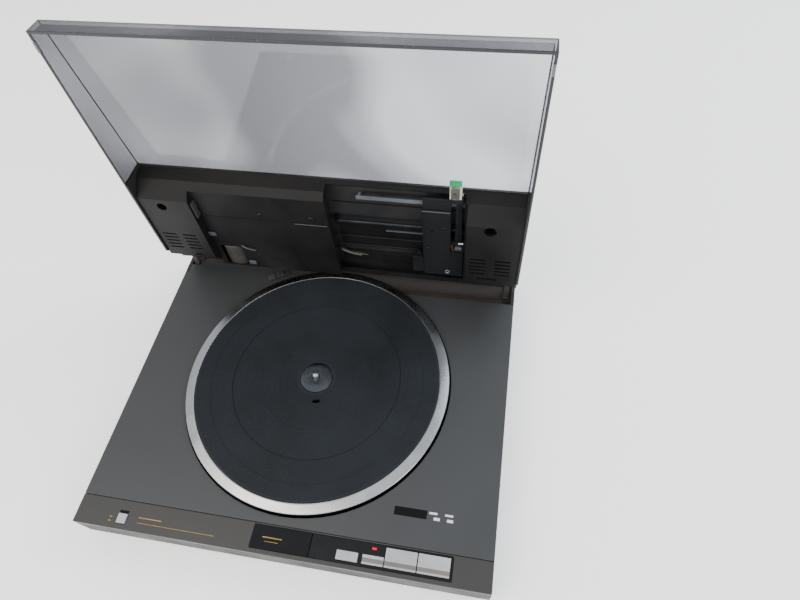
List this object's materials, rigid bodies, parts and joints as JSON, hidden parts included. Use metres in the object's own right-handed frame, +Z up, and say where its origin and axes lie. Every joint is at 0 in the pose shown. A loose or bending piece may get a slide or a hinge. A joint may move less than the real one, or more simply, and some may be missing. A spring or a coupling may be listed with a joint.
{
  "type": "turntable record player",
  "caption": "Full-size automatic turntable with a linear-tracking tonearm carried in its smoked lid, a driven platter with a ribbed mat and a front strip of keys.",
  "frame": {"origin": "on the floor, under the middle of the cabinet, in the plane of the feet's undersides", "axes": "+X to the right seen from the front, +Y to the rear where the lid is hinged, +Z up"},
  "size_m": [0.43, 0.375, 0.396],
  "materials": {
    "deck_grey": "fine metallic grey paint, satin",
    "strip_grey": "fine metallic grey paint, satin",
    "cabinet_black": "moulded, fine grain",
    "housing_black": "moulded, fine grain",
    "gloss_black": "polished",
    "key_silver": "metallic silver paint, satin",
    "machined_aluminium": "turned, bright bevel",
    "steel": "plated",
    "mat_rubber": "ribbed, matt",
    "foot_rubber": "moulded, matt",
    "ferrite": "sintered",
    "winding_copper": "enamelled wire",
    "circuit_board": "lacquered laminate",
    "smoked_acrylic": "polished, smoke tint",
    "cream_plastic": "moulded",
    "green_plastic": "moulded",
    "amber_plastic": "moulded, translucent",
    "red_lens": "moulded lens",
    "slate_plastic": "moulded",
    "cord_fibre": "braided"
  },
  "bodies": {
    "base": {"cabinet": "cabinet_black", "bottom_cover": "cabinet_black", "top_plate": "deck_grey", "control_strip": "strip_grey", "window_insert": "gloss_black", "key_bezel": "gloss_black", "repeat_led": "red_lens", "key_board": "circuit_board", "power_switch": "cabinet_black", "platter_bearing": "steel", "motor_stator": "winding_copper", "motor_board": "circuit_board", "power_transformer": "steel", "control_board": "circuit_board", "lead_clamp": "slate_plastic", "hinge_post_left": "slate_plastic", "hinge_post_right": "slate_plastic", "signal_cord_gland": "foot_rubber", "mains_cord_gland": "foot_rubber", "foot_front_left": "foot_rubber", "foot_front_right": "foot_rubber", "foot_rear_left": "foot_rubber", "foot_rear_right": "foot_rubber"},
    "turning_platter": {"platter": "machined_aluminium", "platter_mat": "mat_rubber", "hub_cap": "machined_aluminium", "spindle": "steel", "rotor_magnet": "ferrite"},
    "power_key": {"power_button": "key_silver"},
    "repeat_key": {"repeat_button": "key_silver"},
    "start_key": {"start_button": "key_silver"},
    "stop_key": {"stop_button": "key_silver"},
    "cue_key": {"cue_rocker": "key_silver"},
    "lid": {"lid_cover": "smoked_acrylic", "lid_bumper_left": "foot_rubber", "lid_bumper_right": "foot_rubber", "arm_housing": "housing_black", "arm_chassis": "housing_black", "hinge_pin_left": "steel", "hinge_pin_right": "steel", "guide_bar": "slate_plastic", "guide_rod": "steel", "arm_motor": "steel", "drive_cord": "cord_fibre", "lid_board": "circuit_board"},
    "worm": {"motor_worm": "steel"},
    "gear_and_drum": {"drive_gear": "cream_plastic"},
    "idler": {"cord_pulley": "cream_plastic"},
    "arm_carriage": {"carriage": "deck_grey", "cord_clamp": "slate_plastic", "arm_base": "housing_black"},
    "arm": {"arm_pivot_pin": "steel", "tonearm": "housing_black", "counterweight": "steel", "cartridge_body": "cream_plastic", "cartridge_label": "green_plastic", "stylus": "amber_plastic", "cartridge_screw": "steel"},
    "guard": {"stylus_guard": "steel"}
  },
  "joints": [
    {"name": "platter_spin", "type": "hinge", "parent": "base", "child": "turning_platter", "pos_m": [0, 0.0029, 0.049], "axis": [0, 0, -1], "continuous": true},
    {"name": "lid_hinge", "type": "hinge", "parent": "base", "child": "lid", "pos_m": [0, 0.156, 0.0825], "axis": [1, 0, 0], "range_deg": [0, 90]},
    {"name": "carriage_slide", "type": "slide", "parent": "lid", "child": "arm_carriage", "axis": [-1, 0, 0], "range_m": [0, 0.084]},
    {"name": "gear_spin", "type": "hinge", "parent": "lid", "child": "gear_and_drum", "pos_m": [-0.1181, 0.1519, 0.122], "axis": [0, 1, 0], "range_deg": [0, 621]},
    {"name": "idler_spin", "type": "hinge", "parent": "lid", "child": "idler", "pos_m": [0.158, 0.1549, 0.122], "axis": [0, 1, 0], "range_deg": [0, 621]},
    {"name": "worm_spin", "type": "hinge", "parent": "lid", "child": "worm", "pos_m": [-0.131, 0.1519, 0.122], "axis": [0, 0, 1], "range_deg": [0, 12380.6]},
    {"name": "arm_lower", "type": "hinge", "parent": "arm_carriage", "child": "arm", "pos_m": [0.1444, 0.1465, 0.142], "axis": [1, 0, 0], "range_deg": [0, 2.2]},
    {"name": "stylus_guard_flip", "type": "hinge", "parent": "arm", "child": "guard", "pos_m": [0.1412, 0.1357, 0.2374], "axis": [1, 0, 0], "range_deg": [-120, 0]},
    {"name": "power_press", "type": "slide", "parent": "base", "child": "power_key", "axis": [0, 0, -1], "range_m": [0, 0.0012], "stiffness_N_per_m": 400, "springref_m": -0.001},
    {"name": "repeat_press", "type": "slide", "parent": "base", "child": "repeat_key", "axis": [0, 0, -1], "range_m": [0, 0.0012], "stiffness_N_per_m": 400, "springref_m": -0.001},
    {"name": "start_press", "type": "slide", "parent": "base", "child": "start_key", "axis": [0, 0, -1], "range_m": [0, 0.0012], "stiffness_N_per_m": 400, "springref_m": -0.001},
    {"name": "stop_press", "type": "slide", "parent": "base", "child": "stop_key", "axis": [0, 0, -1], "range_m": [0, 0.0012], "stiffness_N_per_m": 400, "springref_m": -0.001},
    {"name": "cue_rock", "type": "hinge", "parent": "base", "child": "cue_key", "pos_m": [0.0999, -0.176, 0.0475], "axis": [0, 1, 0], "range_deg": [-4, 4], "stiffness_Nm_per_rad": 0.06}
  ],
  "couplings": [
    {"joint": "gear_spin", "follows": "carriage_slide", "rad_per_m": 128.21},
    {"joint": "idler_spin", "follows": "carriage_slide", "rad_per_m": 128.21},
    {"joint": "worm_spin", "follows": "carriage_slide", "rad_per_m": 2564.1}
  ]
}
